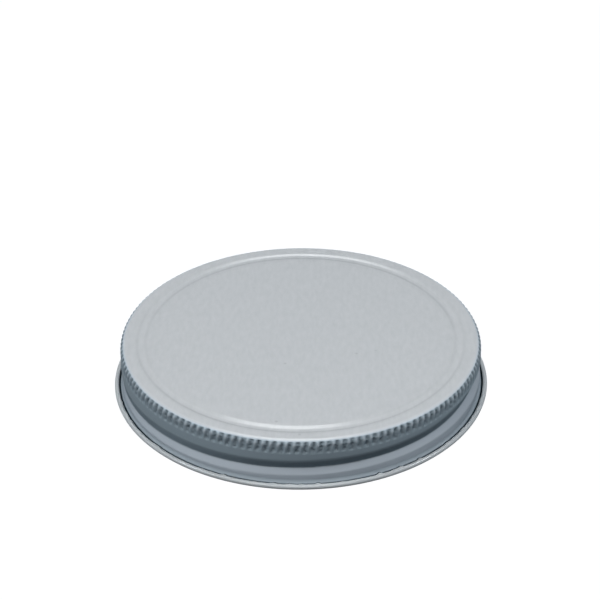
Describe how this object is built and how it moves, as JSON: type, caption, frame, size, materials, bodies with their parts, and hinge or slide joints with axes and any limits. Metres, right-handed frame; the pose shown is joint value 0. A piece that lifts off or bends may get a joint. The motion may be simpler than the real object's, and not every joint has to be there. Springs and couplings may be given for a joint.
{
  "type": "metal screw cap",
  "caption": "Wide, shallow coated-steel screw cap with a pressed ring in its face, a knurled shoulder, a rolled thread and an outward-curled foot.",
  "frame": {"origin": "centre of the circle that the curled foot stands on", "axes": "+Z along the cap's axis, from the open foot up through the face; X and Y are free, as the cap is round"},
  "size_m": [0.092, 0.092, 0.0121],
  "materials": {
    "coated_sheet": "satin"
  },
  "bodies": {
    "root": {"cap": "coated_sheet"}
  },
  "joints": []
}
